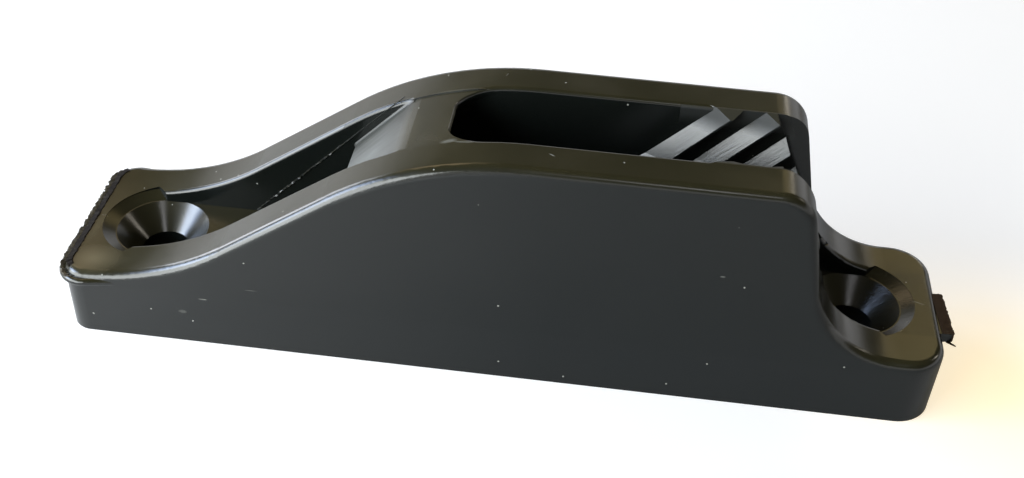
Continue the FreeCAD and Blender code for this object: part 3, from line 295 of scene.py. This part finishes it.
def moulded_nylon(finish, name="black_moulded_nylon", torn=0.0):
    """Black nylon as it leaves a polished mould.

    It is near black with a soft gloss, so it shows mostly as reflections. Its skin is slightly
    uneven, and wide faint patches are a little duller. Faces that lie upwards are tinted olive with
    painted warm light, and painted light patches lie on the entry foot and at the head of the bridge.
    Small light specks and nicks sit here and there, some of them painted glints, a painted highlight
    runs round the rim of the slot's end, and the face of the bridge is matt and carries a painted
    reflection. The jaws keep the fine strokes of the cutter that made their mould. A torn place is rougher.
    """
    material = new_material(name)
    tree = material.node_tree
    place = add_node(tree, "ShaderNodeTexCoord")
    where = place.outputs["Object"]
    spot = add_node(tree, "ShaderNodeSeparateXYZ", links={0: where})
    facing = add_node(tree, "ShaderNodeSeparateXYZ", links={0: place.outputs["Normal"]})

    # The patches are some 9 mm wide, and the skin is uneven from four grains down to about one.
    patches = add_node(tree, "ShaderNodeTexNoise", {"Scale": 1 / (9 * MM), "Detail": 3.0, "Roughness": 0.55},
                       {"Vector": where})
    skin = add_node(tree, "ShaderNodeTexNoise",
                    {"Scale": 1 / (4 * finish.grain), "Detail": 3.0, "Roughness": 0.6}, {"Vector": where})
    # Faces that lie upwards are tinted olive in wide patches, as painted warm light.
    upward = add_node(tree, "ShaderNodeMapRange", {"From Min": 0.25, "From Max": 0.95},
                      {"Value": facing.outputs["Z"]})
    cloudy = add_node(tree, "ShaderNodeMapRange",
                      {"From Min": 0.3, "From Max": 0.7, "To Min": 0.75, "To Max": 1.0},
                      {"Value": patches.outputs["Fac"]})
    painted_top_light = add_node(tree, "ShaderNodeMath", links={0: upward.outputs[0], 1: cloudy.outputs[0]},
                     operation="MULTIPLY")
    colour = add_node(tree, "ShaderNodeMix", {6: finish.colour, 7: finish.painted_top_light}, {0: painted_top_light.outputs[0]},
                      data_type="RGBA")

    # Six cells in ten hold a speck about 0.2 mm wide, which shows where it meets the surface.
    cells = add_node(tree, "ShaderNodeTexVoronoi", {"Scale": 1 / finish.speck_spacing, "Randomness": 1.0},
                     {"Vector": where})
    dot = add_node(tree, "ShaderNodeMath", {1: 0.045}, {0: cells.outputs["Distance"]}, operation="LESS_THAN")
    chance = add_node(tree, "ShaderNodeSeparateColor", links={0: cells.outputs["Color"]})
    chosen = add_node(tree, "ShaderNodeMath", {1: 0.6}, {0: chance.outputs[0]}, operation="LESS_THAN")
    speck = add_node(tree, "ShaderNodeMath", links={0: dot.outputs[0], 1: chosen.outputs[0]},
                     operation="MULTIPLY")
    colour = add_node(tree, "ShaderNodeMix", {7: finish.speck},
                      {0: speck.outputs[0], 6: colour.outputs[2]}, data_type="RGBA")

    # Painted light patches lighten the entry foot and the head of the bridge where they lie upwards.
    for place_mm, size_mm, share in PAINTED_LIGHT_PATCHES:
        painted_patch = mark(tree, where, place_mm, size_mm, firm=0.1)
        painted_patch = add_node(tree, "ShaderNodeMath", links={0: painted_patch.outputs[0], 1: painted_top_light.outputs[0]},
                         operation="MULTIPLY")
        painted_patch = add_node(tree, "ShaderNodeMath", {1: share}, {0: painted_patch.outputs[0]}, operation="MULTIPLY")
        colour = add_node(tree, "ShaderNodeMix", {7: finish.painted_light_patch},
                          {0: painted_patch.outputs[0], 6: colour.outputs[2]}, data_type="RGBA")

    # The strokes of the cutter run up the ridges and the bridge, at the slope of the core, 0.3 mm apart.
    turned = add_node(tree, "ShaderNodeMapping", {"Rotation": (0, math.radians(45), 0)}, {"Vector": where})
    stretched = add_node(tree, "ShaderNodeMapping", {"Scale": (0.08, 1, 1)}, {"Vector": turned.outputs[0]})
    strokes = add_node(tree, "ShaderNodeTexNoise", {"Scale": 1 / (0.3 * MM), "Detail": 4.0, "Roughness": 0.7},
                       {"Vector": stretched.outputs[0]})
    brushed = add_node(tree, "ShaderNodeMapRange",
                       {"From Min": 0.35, "From Max": 0.65, "To Min": 0.55, "To Max": 1.0},
                       {"Value": strokes.outputs["Fac"]})

    # A painted reflection greys the face of the bridge along the strokes, most on its near side.
    off_middle = add_node(tree, "ShaderNodeMath", links={0: spot.outputs["Y"]}, operation="ABSOLUTE")
    between = add_node(tree, "ShaderNodeMath", {1: BETWEEN_WALLS}, {0: off_middle.outputs[0]},
                       operation="LESS_THAN")
    face = bridge_face(tree, spot, facing, between)
    across = add_node(tree, "ShaderNodeMapRange",
                      {"From Min": FACE_NEAR, "From Max": FACE_FAR, "To Min": 1.0, "To Max": 0.1},
                      {"Value": spot.outputs["Y"]})
    painted_face_reflection = face
    for share in (across, cloudy, brushed):
        painted_face_reflection = add_node(tree, "ShaderNodeMath", links={0: painted_face_reflection.outputs[0], 1: share.outputs[0]},
                         operation="MULTIPLY")
    colour = add_node(tree, "ShaderNodeMix", {7: finish.painted_face_reflection},
                      {0: painted_face_reflection.outputs[0], 6: colour.outputs[2]}, data_type="RGBA")

    # The speck colour also paints the highlight on the slot's rim and the glints.
    highlight_and_nicks = rim_highlight_and_nicks(tree, where, spot, facing)
    highlight_and_nicks = add_node(tree, "ShaderNodeMath", links={0: highlight_and_nicks.outputs[0], 1: brushed.outputs[0]},
                    operation="MULTIPLY")
    colour = add_node(tree, "ShaderNodeMix", {7: finish.speck},
                      {0: highlight_and_nicks.outputs[0], 6: colour.outputs[2]}, data_type="RGBA")

    # The bump follows the strokes in the jaws and the grain of the skin everywhere else.
    behind = add_node(tree, "ShaderNodeMath", {1: JAWS_START}, {0: spot.outputs["X"]},
                      operation="GREATER_THAN")
    in_jaws = add_node(tree, "ShaderNodeMath", links={0: between.outputs[0], 1: behind.outputs[0]},
                       operation="MULTIPLY")
    relief = add_node(tree, "ShaderNodeMix",
                      links={0: in_jaws.outputs[0], 2: skin.outputs["Fac"], 3: strokes.outputs["Fac"]})
    push = add_node(tree, "ShaderNodeMapRange", {"To Min": 0.1, "To Max": 0.5},
                    {"Value": in_jaws.outputs[0]})
    bump = add_node(tree, "ShaderNodeBump", {"Distance": 0.05 * MM},
                    {"Height": relief.outputs[0], "Strength": push.outputs[0]})

    # The face of the bridge is matt, and the ridges dull towards their upper ends.
    rough = add_node(tree, "ShaderNodeMapRange",
                     {"From Min": 0.3, "From Max": 0.7, "To Min": finish.roughness - 0.03 + 0.3 * torn,
                      "To Max": finish.roughness + 0.07 + 0.4 * torn}, {"Value": patches.outputs["Fac"]})
    dulled = add_node(tree, "ShaderNodeMapRange",
                      {"From Min": RIDGES_DULLED, "From Max": RIDGES_DULL, "To Min": 0.0, "To Max": 0.4},
                      {"Value": spot.outputs["Z"]})
    dulled = add_node(tree, "ShaderNodeMath", links={0: dulled.outputs[0], 1: in_jaws.outputs[0]},
                      operation="MULTIPLY")
    for source, share in ((face, 0.45), (dulled, 1.0)):
        rough = add_node(tree, "ShaderNodeMath", {1: share}, {0: source.outputs[0], 2: rough.outputs[0]},
                         operation="MULTIPLY_ADD")
    shader = add_node(tree, "ShaderNodeBsdfPrincipled", {"IOR": NYLON_IOR},
                      {"Base Color": colour.outputs[2], "Roughness": rough.outputs[0],
                       "Normal": bump.outputs["Normal"]})
    add_node(tree, "ShaderNodeOutputMaterial", links={"Surface": shader.outputs["BSDF"]})
    return material


def torn_nylon(finish, name, colour):
    """Nylon where it was torn: fibrous and powdery, so it is dull and shows its own brown more than
    reflections.

    Its fibres are drawn 0.35 mm coarse, so that they show, and the raised ones are greyed.
    """
    material = new_material(name)
    tree = material.node_tree
    where = add_node(tree, "ShaderNodeTexCoord").outputs["Object"]
    fibres = add_node(tree, "ShaderNodeTexNoise", {"Scale": 1 / (0.35 * MM), "Detail": 4.0, "Roughness": 0.65},
                      {"Vector": where})
    share = add_node(tree, "ShaderNodeMapRange", {"From Min": 0.58, "From Max": 0.8, "To Max": 0.6},
                     {"Value": fibres.outputs["Fac"]})
    shade = add_node(tree, "ShaderNodeMix", {6: colour, 7: finish.flash}, {0: share.outputs[0]},
                     data_type="RGBA")
    bump = add_node(tree, "ShaderNodeBump", {"Distance": 0.08 * MM, "Strength": 0.7},
                    {"Height": fibres.outputs["Fac"]})
    shader = add_node(tree, "ShaderNodeBsdfPrincipled",
                      {"IOR": NYLON_IOR, "Roughness": 0.8, "Specular IOR Level": 0.15},
                      {"Base Color": shade.outputs[2], "Normal": bump.outputs["Normal"]})
    add_node(tree, "ShaderNodeOutputMaterial", links={"Surface": shader.outputs["BSDF"]})
    return material


def seen(tree, path, mirrored):
    """Level that is 1 for the eye and through glass, the given share for reflections and 0 for all else."""
    level = add_node(tree, "ShaderNodeMath", {1: mirrored},
                     {0: path.outputs["Is Glossy Ray"], 2: path.outputs["Is Camera Ray"]},
                     operation="MULTIPLY_ADD")
    return add_node(tree, "ShaderNodeMath",
                    links={0: level.outputs[0], 1: path.outputs["Is Transmission Ray"]}, operation="MAXIMUM")


def pale_paper(look):
    """Matt white card for the floor, lifted towards white for the eye, with the shadow kept.

    A warm cream glow lies behind the tail foot. The nylon mirrors the card less bright than the eye
    sees it, and brighter towards the entry end. What lies under the moulding stays dark, so that
    the screw holes look deep.
    """
    # Painted warm light lifts the floor behind the tail foot, over the moulding's shadow.
    glow_middle, glow_reach, glow_lift = (62 * MM, -6 * MM), 34 * MM, 0.36
    under_x, under_y = 47.0 * MM, 6.0 * MM
    bright_from, bright_to, bright_level = 5 * MM, -45 * MM, 0.45
    material = new_material("matt_white_card")
    tree = material.node_tree
    path = add_node(tree, "ShaderNodeLightPath")
    shown = seen(tree, path, 0.15)
    place = add_node(tree, "ShaderNodeTexCoord").outputs["Object"]
    spot = add_node(tree, "ShaderNodeSeparateXYZ", links={0: place})
    outside = []
    for axis, reach in (("X", under_x), ("Y", under_y)):
        off_middle = add_node(tree, "ShaderNodeMath", links={0: spot.outputs[axis]}, operation="ABSOLUTE")
        outside.append(add_node(tree, "ShaderNodeMath", {1: reach}, {0: off_middle.outputs[0]},
                                operation="GREATER_THAN"))
    outside = add_node(tree, "ShaderNodeMath", links={0: outside[0].outputs[0], 1: outside[1].outputs[0]},
                       operation="MAXIMUM")

    centred = add_node(tree, "ShaderNodeMapping", {"Location": (-glow_middle[0], -glow_middle[1], 0)},
                       {"Vector": place})
    away = add_node(tree, "ShaderNodeVectorMath", links={0: centred.outputs[0]}, operation="LENGTH")
    glow = add_node(tree, "ShaderNodeMapRange",
                    {"From Min": 0.0, "From Max": glow_reach, "To Min": 1.0, "To Max": 0.0},
                    {"Value": away.outputs["Value"]}, interpolation_type="SMOOTHSTEP")
    tint = add_node(tree, "ShaderNodeMix", {6: linear("#ffffff"), 7: look.glow_colour},
                    {0: glow.outputs[0]}, data_type="RGBA")

    level = add_node(tree, "ShaderNodeMath", {1: look.card_level}, {0: shown.outputs[0]},
                     operation="MULTIPLY")
    lift = add_node(tree, "ShaderNodeMath", {1: glow_lift}, {0: glow.outputs[0], 2: level.outputs[0]},
                    operation="MULTIPLY_ADD")
    lift = add_node(tree, "ShaderNodeMath", links={0: lift.outputs[0], 1: shown.outputs[0]},
                    operation="MULTIPLY")
    mirrored = add_node(tree, "ShaderNodeMapRange",
                        {"From Min": bright_from, "From Max": bright_to, "To Min": 0.0,
                         "To Max": bright_level},
                        {"Value": spot.outputs["X"]})
    lift = add_node(tree, "ShaderNodeMath",
                    links={0: mirrored.outputs[0], 1: path.outputs["Is Glossy Ray"], 2: lift.outputs[0]},
                    operation="MULTIPLY_ADD")
    lift = add_node(tree, "ShaderNodeMath", links={0: lift.outputs[0], 1: outside.outputs[0]},
                    operation="MULTIPLY")
    card = add_node(tree, "ShaderNodeBsdfPrincipled",
                    {"Roughness": 0.9, "Specular IOR Level": 0.2, "Base Color": look.floor_colour},
                    {"Emission Color": tint.outputs[2], "Emission Strength": lift.outputs[0]})
    add_node(tree, "ShaderNodeOutputMaterial", links={"Surface": card.outputs["BSDF"]})
    return material


def room_paint(look):
    """Dull olive-grey paint of the ceiling, which the faces that lie upwards mirror."""
    material = new_material("matt_ceiling_paint")
    tree = material.node_tree
    paint = add_node(tree, "ShaderNodeBsdfPrincipled",
                     {"Base Color": look.ceiling_colour, "Roughness": 0.95, "Specular IOR Level": 0.1})
    add_node(tree, "ShaderNodeOutputMaterial", links={"Surface": paint.outputs["BSDF"]})
    return material


def deselect_all():
    """Leave edit mode and select nothing, so that an operator acts on new geometry alone."""
    if bpy.context.object and bpy.context.object.mode != "OBJECT":
        bpy.ops.object.mode_set(mode="OBJECT")
    bpy.ops.object.select_all(action="DESELECT")


def pick(piece, wanted, kind="VERT"):
    """Enter edit mode on the piece and select the vertices, edges or faces that the test wants."""
    bpy.context.view_layer.objects.active = piece
    bpy.ops.object.mode_set(mode="EDIT")
    bpy.ops.mesh.select_mode(type=kind)
    bpy.ops.mesh.select_all(action="DESELECT")
    bpy.ops.object.mode_set(mode="OBJECT")
    elements = {"VERT": piece.data.vertices, "EDGE": piece.data.edges, "FACE": piece.data.polygons}[kind]
    for element in elements:
        element.select = wanted(element)
    bpy.ops.object.mode_set(mode="EDIT")


def put_in_order(piece, point):
    """Sort vertices, edges and faces by their distance from a point, and leave edit mode.

    Extrude and spin leave them in no fixed order, and cuts and random shifts follow that order.
    """
    cursor = bpy.context.scene.cursor
    home = cursor.location.copy()
    cursor.location = point
    pick(piece, lambda vertex: True)
    bpy.ops.mesh.sort_elements(type="CURSOR_DISTANCE", elements={"VERT", "EDGE", "FACE"})
    bpy.ops.object.mode_set(mode="OBJECT")
    cursor.location = home


def cut_lengthwise(piece, way, cuts):
    """Subdivide the edges that run exactly the given way, and leave edit mode."""
    bpy.ops.object.mode_set(mode="OBJECT")
    points = piece.data.vertices

    def runs_along(edge):
        step = points[edge.vertices[1]].co - points[edge.vertices[0]].co
        return step.length > 0 and abs(step.normalized().dot(way)) > 0.99999

    pick(piece, runs_along, "EDGE")
    bpy.ops.mesh.subdivide(number_cuts=cuts)
    bpy.ops.object.mode_set(mode="OBJECT")


def cut_all(piece, cuts):
    """Subdivide every edge of the piece, and stay in edit mode with all of it selected."""
    bpy.context.view_layer.objects.active = piece
    bpy.ops.object.mode_set(mode="EDIT")
    bpy.ops.mesh.select_all(action="SELECT")
    bpy.ops.mesh.subdivide(number_cuts=cuts)


def fin_section(name, place, way, lift, proud, thick):
    """Stand the four-sided cross-section of a thin fin on the moulding, ready to be extruded or spun.

    The fin will run the given way, and its free edge stands off the moulding along lift.
    """
    deselect_all()
    bpy.ops.mesh.primitive_plane_add(size=1)
    fin = bpy.context.object
    fin.name = name
    across = way.cross(lift)
    section = Matrix((lift * proud * 2, across * thick, way)).transposed().to_4x4()
    fin.matrix_world = Matrix.Translation(place) @ section
    bpy.ops.object.transform_apply(location=True, rotation=True, scale=True)
    pick(fin, lambda face: True, "FACE")
    return fin


def cut_fin(fin, start, way, cuts):
    """Cut the straight run of a fin into short lengths, the same way each time.

    It is sorted from a point nearly in line with the run, which no two vertices are equally far from.
    """
    point = start - way * 130 * MM + Vector((5, 3, -2)) * MM
    put_in_order(fin, point)
    cut_lengthwise(fin, way, cuts)
    put_in_order(fin, point)


def fin_round_end(name, middle, radius, rise, proud, thick, sweeps, steps, cuts):
    """Run a thin fin round the far corner of the entry end, straight across and round the near corner.

    Middle is the middle of the far corner's arc. Rise is how steeply the free edge stands up, and
    sweeps are the degrees of arc on the far and on the near corner.
    """
    far_sweep, near_sweep = sweeps
    turn = math.radians(180 - far_sweep)
    out = Vector((math.cos(turn), math.sin(turn), 0))
    way = Vector((-math.sin(turn), math.cos(turn), 0))
    fin = fin_section(name, middle + out * radius, way, (out + Vector((0, 0, rise))).normalized(), proud, thick)
    bpy.ops.mesh.spin(steps=steps, angle=-math.radians(far_sweep), center=middle, axis=(0, 0, 1))
    bpy.ops.mesh.extrude_region_move(TRANSFORM_OT_translate={"value": (0, -2 * middle.y, 0)})
    bpy.ops.mesh.spin(steps=steps, angle=-math.radians(near_sweep), center=(middle.x, -middle.y, middle.z),
                      axis=(0, 0, 1))
    cut_fin(fin, middle, Vector((0, 1, 0)), cuts)
    return fin


def tear(piece, stands_free, ragged, seed):
    """Turn all faces outwards while the shape is clean, then shift what stands free at random."""
    pick(piece, lambda vertex: True)
    bpy.ops.mesh.normals_make_consistent(inside=False)
    pick(piece, lambda vertex: stands_free(vertex.co))
    bpy.ops.transform.vertex_random(offset=ragged, uniform=1.0, seed=seed)
    bpy.ops.object.mode_set(mode="OBJECT")


def hand_over(piece, material):
    """Give a finished piece its nylon and let it ride on the moulding."""
    piece.data.materials.clear()
    piece.data.materials.append(material)
    deselect_all()
    piece.select_set(True)
    bpy.context.view_layer.objects.active = piece
    bpy.ops.object.shade_smooth_by_angle(angle=math.radians(40))
    piece.select_set(False)
    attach(piece, "root")


class CLEAT_OT_dress_moulding(bpy.types.Operator):
    """Give the one-piece moulding its black nylon"""
    bl_idname = "cleat.dress_moulding"
    bl_label = "Dress the moulding"

    def execute(self, context):
        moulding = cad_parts[BODY]
        nylon = moulded_nylon(context.scene.cleat_nylon)
        for material_slot in moulding.material_slots:
            material_slot.material = nylon
        return {"FINISHED"}


class CLEAT_OT_draw_core_flash(bpy.types.Operator):
    """Draw the thin flash that the core's split left on both inner walls"""
    bl_idname = "cleat.draw_core_flash"
    bl_label = "Draw the core flash"

    def execute(self, context):
        marks = context.scene.cleat_marks
        torn = moulded_nylon(context.scene.cleat_nylon, "torn_nylon_flash", 0.5)
        # Levels: over the channel floor, under the bridge, where the torn flash turns clean, under the top.
        low, under, middle, high = 7.9 * MM, 18.2 * MM, 19.5 * MM, 26.2 * MM
        thick, way = 0.1 * MM, Vector((1, 0, 1)).normalized()
        for name, side, start, end, proud, cuts, ragged in (
                ("far_torn", 1, low, middle, marks.core_flash, 90, 0.09 * MM),
                ("far_clean", 1, middle, high, marks.core_flash / 2, 12, 0.015 * MM),
                ("near_torn", -1, low, under, marks.core_flash, 80, 0.09 * MM)):
            place = Vector((marks.core_line + start, side * marks.wall, start))
            fin = fin_section("core_flash_" + name, place, way, Vector((0, -side, 0)), proud, thick)
            step = Vector((end - start, 0, end - start))
            bpy.ops.mesh.extrude_region_move(TRANSFORM_OT_translate={"value": step})
            cut_fin(fin, place, way, cuts)
            tear(fin, lambda point: side * point.y < marks.wall - proud / 2, ragged, marks.seed + side)
            hand_over(fin, torn)
        return {"FINISHED"}


class CLEAT_OT_draw_rim_flash(bpy.types.Operator):
    """Draw the ragged flash round the entry end at the parting line, and behind it a dark torn strip of painted
    shade
    """
    bl_idname = "cleat.draw_rim_flash"
    bl_label = "Draw the rim flash"

    def execute(self, context):
        marks = context.scene.cleat_marks
        finish = context.scene.cleat_nylon
        torn = torn_nylon(finish, "torn_nylon_rim", finish.flash)
        dark = torn_nylon(finish, "torn_nylon_painted_shade", finish.seam)

        # The flash stands on the parting bead and follows the outline of the end.
        end_x, side_y, corner = -50.25 * MM, 10.95 * MM, 2.9 * MM
        middle = Vector((end_x + corner, side_y - corner, marks.parting + 0.75 * MM))
        fin = fin_round_end("rim_flash", middle, corner, 0.34 / 0.94, marks.rim_flash, 0.12 * MM,
                            sweeps=(48, 70), steps=14, cuts=70)

        def beyond(point):
            over_x = max(abs(point.x) + end_x + corner, 0)
            over_y = max(abs(point.y) - side_y + corner, 0)
            return math.hypot(over_x, over_y) > corner + 0.4 * marks.rim_flash

        tear(fin, beyond, 0.16 * MM, marks.seed)
        hand_over(fin, torn)

        # A dark torn strip lies on the upper edge from corner to corner, with the shade of the crevice behind
        # the flash painted on.
        middle = Vector((-47.25 * MM, 8.0 * MM, 8.5 * MM))
        seam = fin_round_end("rim_painted_shade", middle, 2.15 * MM, -0.22, 0.36 * MM, 0.14 * MM,
                             sweeps=(48, 42), steps=12, cuts=80)
        tear(seam, lambda point: True, 0.08 * MM, marks.seed + 1)
        hand_over(seam, dark)
        return {"FINISHED"}


class CLEAT_OT_ease_recesses(bpy.types.Operator):
    """Run a sloping cove round the foot of each screw recess"""
    bl_idname = "cleat.ease_recesses"
    bl_label = "Ease the recesses"

    def execute(self, context):
        marks = context.scene.cleat_marks
        nylon = moulded_nylon(context.scene.cleat_nylon, "black_moulded_nylon_cove")
        # The cove reaches from just under the top of the foot to just under the channel floor, and a
        # little into the wall of the recess.
        top, floor, sunk = 8.5 * MM, 7.68 * MM, 0.05 * MM
        for name, screw_x, first, sweep in (("entry", -41.25 * MM, 102, 156), ("tail", 40.45 * MM, -76, 152)):
            turn = math.radians(first)
            out = Vector((math.cos(turn), math.sin(turn), 0))
            axis = Vector((screw_x, 0, 0))
            deselect_all()
            bpy.ops.mesh.primitive_circle_add(vertices=3, radius=1, fill_type="NGON")
            cove = context.object
            cove.name = "recess_cove_" + name
            corners = (axis + out * (marks.recess + sunk) + Vector((0, 0, top)),
                       axis + out * (marks.recess + sunk) + Vector((0, 0, floor)),
                       axis + out * (marks.recess - marks.cove) + Vector((0, 0, floor)))
            for vertex, corner in zip(cove.data.vertices, corners):
                vertex.co = corner
            pick(cove, lambda face: True, "FACE")
            bpy.ops.mesh.spin(steps=40, angle=-math.radians(sweep), center=axis, axis=(0, 0, 1))
            bpy.ops.mesh.select_all(action="SELECT")
            bpy.ops.mesh.normals_make_consistent(inside=False)
            bpy.ops.object.mode_set(mode="OBJECT")
            hand_over(cove, nylon)
        return {"FINISHED"}


class CLEAT_OT_tear_gate(bpy.types.Operator):
    """Tear the broken end of the moulding gate and leave its whisker"""
    bl_idname = "cleat.tear_gate"
    bl_label = "Tear the gate"

    def execute(self, context):
        marks = context.scene.cleat_marks
        finish = context.scene.cleat_nylon
        torn = torn_nylon(finish, "torn_nylon_gate", finish.gate)

        # The scar wraps the stub of the gate, whose end was broken off a few degrees out of square.
        skew, smooth_to = math.radians(4.1), 50.3 * MM
        deselect_all()
        bpy.ops.mesh.primitive_cube_add(size=1, location=(50.42 * MM, -0.95 * MM, marks.parting + 0.6 * MM),
                                        scale=(1.3 * MM, 6.8 * MM, 1.34 * MM), rotation=(0, 0, skew))
        scar = context.object
        scar.name = "gate_scar"
        bpy.ops.object.transform_apply(location=True, rotation=True, scale=True)
        cut_all(scar, 5)
        cut_lengthwise(scar, Vector((-math.sin(skew), math.cos(skew), 0)), 4)
        tear(scar, lambda point: point.x > smooth_to, 0.07 * MM, marks.seed + 3)
        hand_over(scar, torn)

        # A thin whisker hangs from its near corner.
        deselect_all()
        bpy.ops.mesh.primitive_cone_add(vertices=8, radius1=0.16 * MM, radius2=0.03 * MM, depth=1.3 * MM,
                                        location=(51.15 * MM, -4.75 * MM, marks.parting + 0.1 * MM),
                                        rotation=(math.radians(78), 0, math.radians(38)))
        whisker = context.object
        whisker.name = "gate_whisker"
        bpy.ops.object.transform_apply(location=True, rotation=True, scale=True)
        cut_all(whisker, 3)
        bpy.ops.transform.vertex_random(offset=0.05 * MM, uniform=1.0, seed=marks.seed)
        bpy.ops.object.mode_set(mode="OBJECT")
        hand_over(whisker, torn)
        return {"FINISHED"}


def lay_plane(context, name, size, level, material, rotation=(0, 0, 0)):
    """Lay a level square that belongs to the studio and not to the cleat."""
    deselect_all()
    bpy.ops.mesh.primitive_plane_add(size=size, location=(0, 0, level), rotation=rotation)
    plane = context.object
    plane.name = name
    plane.data.materials.append(material)


def hang_softbox(context, name, azimuth, elevation, distance, width, height, power, colour):
    """Hang one soft rectangular light round the cleat and turn it to the cleat's middle.

    The azimuth is measured from +X towards +Y and the elevation from the floor, in degrees.
    """
    turn, rise = math.radians(azimuth), math.radians(elevation)
    aim = Vector((0, 0, 15 * MM))
    way = Vector((math.cos(turn) * math.cos(rise), math.sin(turn) * math.cos(rise), math.sin(rise)))
    bpy.ops.object.light_add(type="AREA", location=aim + way * distance)
    lamp = context.object
    lamp.name = name
    lamp.data.shape = "RECTANGLE"
    lamp.data.size, lamp.data.size_y = width, height
    lamp.data.energy = power
    lamp.data.color = linear(colour)[:3]
    lamp.rotation_mode = "QUATERNION"
    lamp.rotation_quaternion = way.to_track_quat("Z", "Y")


def light_room(context, look):
    """Give the scene an even white world, white to the eye and dimmer as a light."""
    world = bpy.data.worlds.new("even_room")
    context.scene.world = world
    world.use_nodes = True
    tree = world.node_tree
    tree.nodes.clear()
    shown = seen(tree, add_node(tree, "ShaderNodeLightPath"), 1.0)
    level = add_node(tree, "ShaderNodeMapRange", {"To Min": look.world_level, "To Max": 1.0},
                     {"Value": shown.outputs[0]})
    room = add_node(tree, "ShaderNodeBackground", {"Color": linear("#ffffff")},
                    {"Strength": level.outputs["Result"]})
    add_node(tree, "ShaderNodeOutputWorld", links={"Surface": room.outputs["Background"]})


def stand_camera(context, look):
    """Stand the camera where the photo was taken from."""
    ahead = Vector((math.sin(look.camera_yaw) * math.cos(look.camera_pitch),
                    math.cos(look.camera_yaw) * math.cos(look.camera_pitch), -math.sin(look.camera_pitch)))
    right = ahead.cross(Vector((0, 0, 1))).normalized()
    up = right.cross(ahead)
    turned_right = right * math.cos(look.camera_roll) + up * math.sin(look.camera_roll)
    turned_up = up * math.cos(look.camera_roll) - right * math.sin(look.camera_roll)
    bpy.ops.object.camera_add(location=look.camera_place)
    camera = context.object
    camera.name = "photo_camera"
    camera.rotation_mode = "QUATERNION"
    camera.rotation_quaternion = Matrix((turned_right, turned_up, -ahead)).transposed().to_quaternion()
    camera.data.sensor_width = 36
    camera.data.lens = look.lens
    camera.data.clip_start, camera.data.clip_end = 5 * MM, 20
    context.scene.camera = camera


class CLEAT_OT_set_stage(bpy.types.Operator):
    """Lay the floor, hang the lights and stand the camera"""
    bl_idname = "cleat.set_stage"
    bl_label = "Set the stage"

    def execute(self, context):
        look = context.scene.cleat_studio
        lay_plane(context, "floor", look.floor_size, -0.02 * MM, pale_paper(look))
        lay_plane(context, "ceiling", 8, 1.6, room_paint(look), rotation=(math.pi, 0, 0))
        for lamp in LAMPS:
            hang_softbox(context, *lamp)
        light_room(context, look)
        context.scene.view_settings.view_transform = "Standard"
        stand_camera(context, look)
        return {"FINISHED"}


class CLEAT_PT_sidebar(bpy.types.Panel):
    """Sizes, finishes and steps of the cleat"""
    bl_idname = "CLEAT_PT_sidebar"
    bl_label = "Jam cleat"
    bl_space_type = "VIEW_3D"
    bl_region_type = "UI"
    bl_category = "Cleat"

    def draw(self, context):
        for group in (context.scene.cleat_nylon, context.scene.cleat_marks, context.scene.cleat_studio):
            box = self.layout.box()
            for name in group.__annotations__:
                box.prop(group, name)
        for operator in STEPS:
            self.layout.operator(operator.bl_idname)


GROUPS = {"cleat_nylon": NylonFinish, "cleat_marks": MouldMarks, "cleat_studio": StudioLook}
STEPS = (CLEAT_OT_dress_moulding, CLEAT_OT_ease_recesses, CLEAT_OT_draw_core_flash, CLEAT_OT_draw_rim_flash,
         CLEAT_OT_tear_gate, CLEAT_OT_set_stage)


def register():
    """Make the groups, operators and panel known to Blender."""
    for group in (*GROUPS.values(), *STEPS, CLEAT_PT_sidebar):
        bpy.utils.register_class(group)
    for name, group in GROUPS.items():
        setattr(bpy.types.Scene, name, PointerProperty(type=group))


def unregister():
    """Take them away again."""
    for name in GROUPS:
        delattr(bpy.types.Scene, name)
    for group in reversed((*GROUPS.values(), *STEPS, CLEAT_PT_sidebar)):
        bpy.utils.unregister_class(group)


def main():
    """Run the steps in order."""
    register()
    bpy.ops.cleat.dress_moulding()
    bpy.ops.cleat.ease_recesses()
    bpy.ops.cleat.draw_core_flash()
    bpy.ops.cleat.draw_rim_flash()
    bpy.ops.cleat.tear_gate()
    bpy.ops.cleat.set_stage()


if __name__ == "__main__":
    main()
